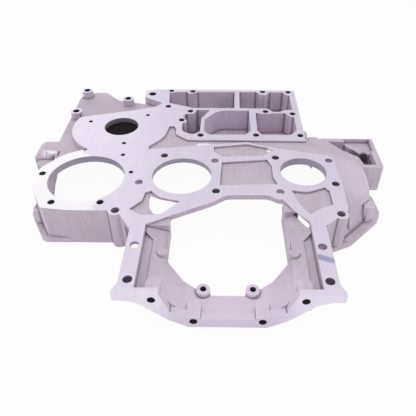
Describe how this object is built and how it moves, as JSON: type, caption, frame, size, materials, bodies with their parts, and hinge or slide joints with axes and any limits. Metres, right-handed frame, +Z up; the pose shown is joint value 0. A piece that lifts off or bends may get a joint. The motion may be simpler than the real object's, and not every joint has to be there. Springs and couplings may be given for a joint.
{
  "type": "engine timing cover",
  "caption": "Cast aluminium engine timing cover with machined joint lands, gear bores, a crank opening, a water chamber and a forked sump end.",
  "frame": {"origin": "middle of the footprint on the front joint plane, which is the lowest plane as the part lies", "axes": "+X to the right along the longest side, +Y from the sump end towards the water chamber, +Z up out of the machined block face"},
  "size_m": [0.4588, 0.4184, 0.05],
  "materials": {
    "cast_aluminium": "cast skin with milled lands"
  },
  "bodies": {
    "root": {"timing_cover": "cast_aluminium"}
  },
  "joints": []
}
